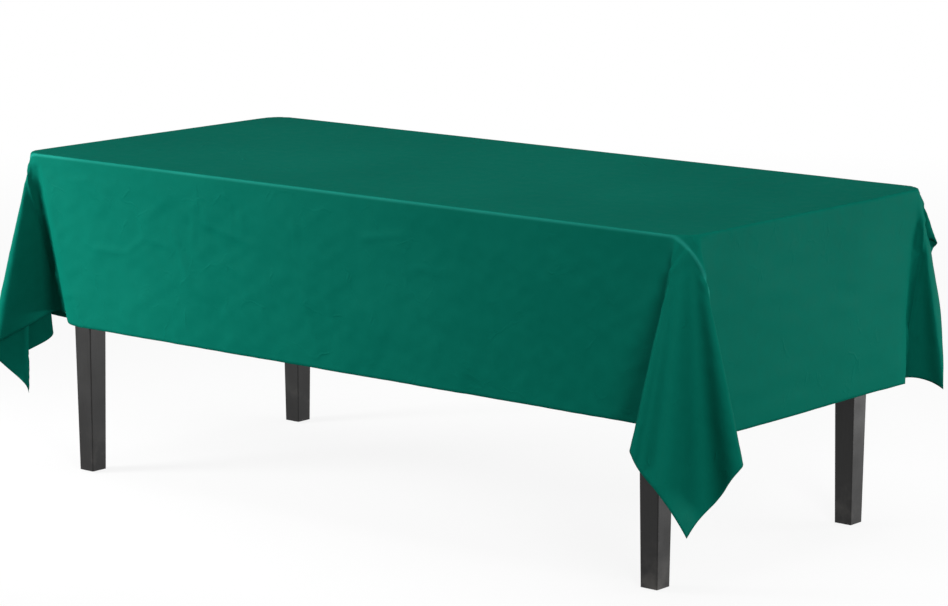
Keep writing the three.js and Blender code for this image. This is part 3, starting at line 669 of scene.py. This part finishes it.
def plastic_material():
    material, shader, node, link = new_material("glide plastic")
    place = node("ShaderNodeTexCoord")
    grit = node("ShaderNodeTexNoise", Scale=240.0, Detail=3.0)
    link(place.outputs["Object"], grit.inputs["Vector"])
    link(blend_colours(node, link, ramp(node, link, grit.outputs["Fac"], 0, 1, 0.4, 0.7),
                       (0.020, 0.020, 0.021), (0.050, 0.049, 0.048)), shader.inputs["Base Color"])
    link(ramp(node, link, grit.outputs["Fac"], 0.5, 0.7), shader.inputs["Roughness"])
    bump = node("ShaderNodeBump", Strength=0.3, Distance=0.0002)
    link(grit.outputs["Fac"], bump.inputs["Height"])
    link(bump.outputs["Normal"], shader.inputs["Normal"])
    return material


def dress_frame():
    """Gives every CAD node that shows its own finish, and eases the machined edges of the woodwork."""
    paint = {axis: paint_material("black paint along " + axis.lower(), axis) for axis in "XYZ"}
    finishes = {
        "raw_wood": timber_material("bare pine", "Y", (0.50, 0.33, 0.18), (0.34, 0.20, 0.10)),
        "board": board_material(),
        "zinc_steel": metal_material("zinc steel", (0.62, 0.64, 0.66), (0.48, 0.50, 0.53), 0.28),
        "yellow_steel": metal_material("yellow steel", (0.70, 0.56, 0.28), (0.55, 0.42, 0.20), 0.30),
        "glide": plastic_material(),
    }
    slots = {s["node"]: s["material_slot"] for s in frame["record"]["subparts"]}
    for name, obj in frame["nodes"].items():
        if name == "tablecloth":
            continue
        slot = slots[name]
        if slot == "black_paint":
            along_x = name in ("front_apron", "back_apron")
            finish = paint["Z" if name.startswith("leg") else "X" if along_x else "Y"]
        else:
            finish = finishes[slot]
        obj.data.materials.clear()
        obj.data.materials.append(finish)
        if name.startswith("leg") or name.endswith("apron") or name in ("cross_rail", "table_top"):
            weld = obj.modifiers.new("weld", "WELD")
            weld.merge_threshold = 0.00002
            ease = obj.modifiers.new("eased edges", "BEVEL")
            ease.width = 0.0012
            ease.segments = 2
            ease.limit_method = "ANGLE"
            ease.angle_limit = math.radians(40)
            ease.harden_normals = True


# ------------------------------------------------------------------ the studio
def make_floor():
    """A wide pale floor that brightens into the background far away."""
    count, rings = 96, (0.0, 1.5, 3.0, 6.0, 12.0, 30.0, 60.0)
    points, faces = [(MIDDLE_X, MIDDLE_Y, 0.0)], []
    for ring in rings[1:]:
        points += [(MIDDLE_X + ring * math.cos(2 * math.pi * k / count),
                    MIDDLE_Y + ring * math.sin(2 * math.pi * k / count), 0.0) for k in range(count)]
    faces += [(0, 1 + k, 1 + (k + 1) % count) for k in range(count)]
    for r in range(len(rings) - 2):
        a, b = 1 + r * count, 1 + (r + 1) * count
        faces += [(a + k, b + k, b + (k + 1) % count, a + (k + 1) % count) for k in range(count)]
    mesh = bpy.data.meshes.new("floor")
    mesh.from_pydata([(x, y, z - 0.0005) for x, y, z in points], [], faces)
    floor = bpy.data.objects.new("floor", mesh)
    scene.collection.objects.link(floor)
    material, shader, node, link = new_material("pale floor")
    place = node("ShaderNodeTexCoord")
    away = node("ShaderNodeVectorMath", operation="LENGTH")
    link(place.outputs["Object"], away.inputs[0])
    speck = node("ShaderNodeTexNoise", Scale=3.0, Detail=4.0)
    link(place.outputs["Object"], speck.inputs["Vector"])
    link(blend_colours(node, link, speck.outputs["Fac"], (0.86, 0.86, 0.86), (0.90, 0.90, 0.90)),
         shader.inputs["Base Color"])
    shader.inputs["Roughness"].default_value = 0.9
    shader.inputs["Specular IOR Level"].default_value = 0.1
    glow = node("ShaderNodeEmission", Color=(1, 1, 1, 1), Strength=1.0)
    mix = node("ShaderNodeMixShader")
    link(ramp(node, link, away.outputs["Value"], 0.88, 1.0, 1.6, 6.0), mix.inputs[0])
    link(shader.outputs[0], mix.inputs[1])
    link(glow.outputs[0], mix.inputs[2])
    output = material.node_tree.nodes["Material Output"]
    link(mix.outputs[0], output.inputs["Surface"])
    mesh.materials.append(material)
    floor.visible_diffuse = False


def make_backdrop():
    """A white dome far off, seen but not lighting anything."""
    around, up, radius = 48, 12, 58.0
    points = [(MIDDLE_X + radius * math.cos(2 * math.pi * k / around) * math.cos(math.pi / 2 * r / up),
               MIDDLE_Y + radius * math.sin(2 * math.pi * k / around) * math.cos(math.pi / 2 * r / up),
               radius * math.sin(math.pi / 2 * r / up) - 0.5) for r in range(up) for k in range(around)]
    top = len(points)
    points.append((MIDDLE_X, MIDDLE_Y, radius))
    faces = [(a + k, a + around + k, a + around + (k + 1) % around, a + (k + 1) % around)
             for a in range(0, (up - 1) * around, around) for k in range(around)]
    faces += [((up - 1) * around + k, top, (up - 1) * around + (k + 1) % around) for k in range(around)]
    mesh = bpy.data.meshes.new("backdrop")
    mesh.from_pydata(points, [], faces)
    dome = bpy.data.objects.new("backdrop", mesh)
    scene.collection.objects.link(dome)
    material, shader, node, link = new_material("white backdrop")
    glow = node("ShaderNodeEmission", Color=(1, 1, 1, 1), Strength=1.0)
    link(glow.outputs[0], material.node_tree.nodes["Material Output"].inputs["Surface"])
    mesh.materials.append(material)
    dome.visible_diffuse = dome.visible_glossy = dome.visible_shadow = False


SKY = 0.22
# name, place and target from the table's middle in metres, watts, size in metres, spread in degrees
LIGHTS = (
    ("left", (-2.3, -2.2, 1.1), (-0.8, -0.4, 0.5), 22, (1.0, 1.0), 70),
    ("key", (4.4, -3.1, 2.4), (0.7, -0.3, 0.4), 66, (1.2, 1.2), 120),
    ("low right", (2.6, 2.2, 0.35), (0.8, 0.2, 0.2), 30, (1.6, 0.4), 120),
    ("above", (0, 0, 4.0), (0, 0, 0), 48, (4.0, 3.0), 120),
)


def add_light(name, place, target, power, size, spread):
    light = bpy.data.lights.new(name, "AREA")
    light.energy = power
    light.spread = math.radians(spread)
    light.shape = "RECTANGLE"
    light.size, light.size_y = size
    obj = bpy.data.objects.new(name, light)
    scene.collection.objects.link(obj)
    place = Vector(place) + Vector((MIDDLE_X, MIDDLE_Y, 0))
    target = Vector(target) + Vector((MIDDLE_X, MIDDLE_Y, 0))
    obj.location = place
    obj.rotation_euler = (target - place).to_track_quat("-Z", "Y").to_euler()


def make_studio():
    world = bpy.data.worlds.new("studio")
    scene.world = world
    world.use_nodes = True
    sky = world.node_tree.nodes["Background"]
    sky.inputs["Color"].default_value = (1, 1, 1, 1)
    sky.inputs["Strength"].default_value = SKY
    make_floor()
    make_backdrop()
    for light in LIGHTS:
        add_light(*light)


CAMERA_OFFSET = (4.860, -5.759, 1.826)        # from the table's middle on the floor
CAMERA_TURN, CAMERA_DOWN = 39.89, 10.38       # degrees
CAMERA_LENS, CAMERA_SENSOR = 129.35, 36.0     # millimetres


def make_camera():
    """Low and from the front right, as a catalogue picture would be taken."""
    data = bpy.data.cameras.new("camera")
    data.sensor_width = CAMERA_SENSOR
    data.lens = CAMERA_LENS
    camera = bpy.data.objects.new("camera", data)
    camera.location = Vector(CAMERA_OFFSET) + Vector((MIDDLE_X, MIDDLE_Y, 0))
    camera.rotation_euler = (math.radians(90 - CAMERA_DOWN), 0, math.radians(CAMERA_TURN))
    scene.collection.objects.link(camera)
    scene.camera = camera


make_camera()
make_studio()
scene.view_settings.view_transform = "Standard"
dress_frame()
cloth = make_cloth()
cloth.data.materials.append(film_material())
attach(cloth, "cloth")
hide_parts("tablecloth")
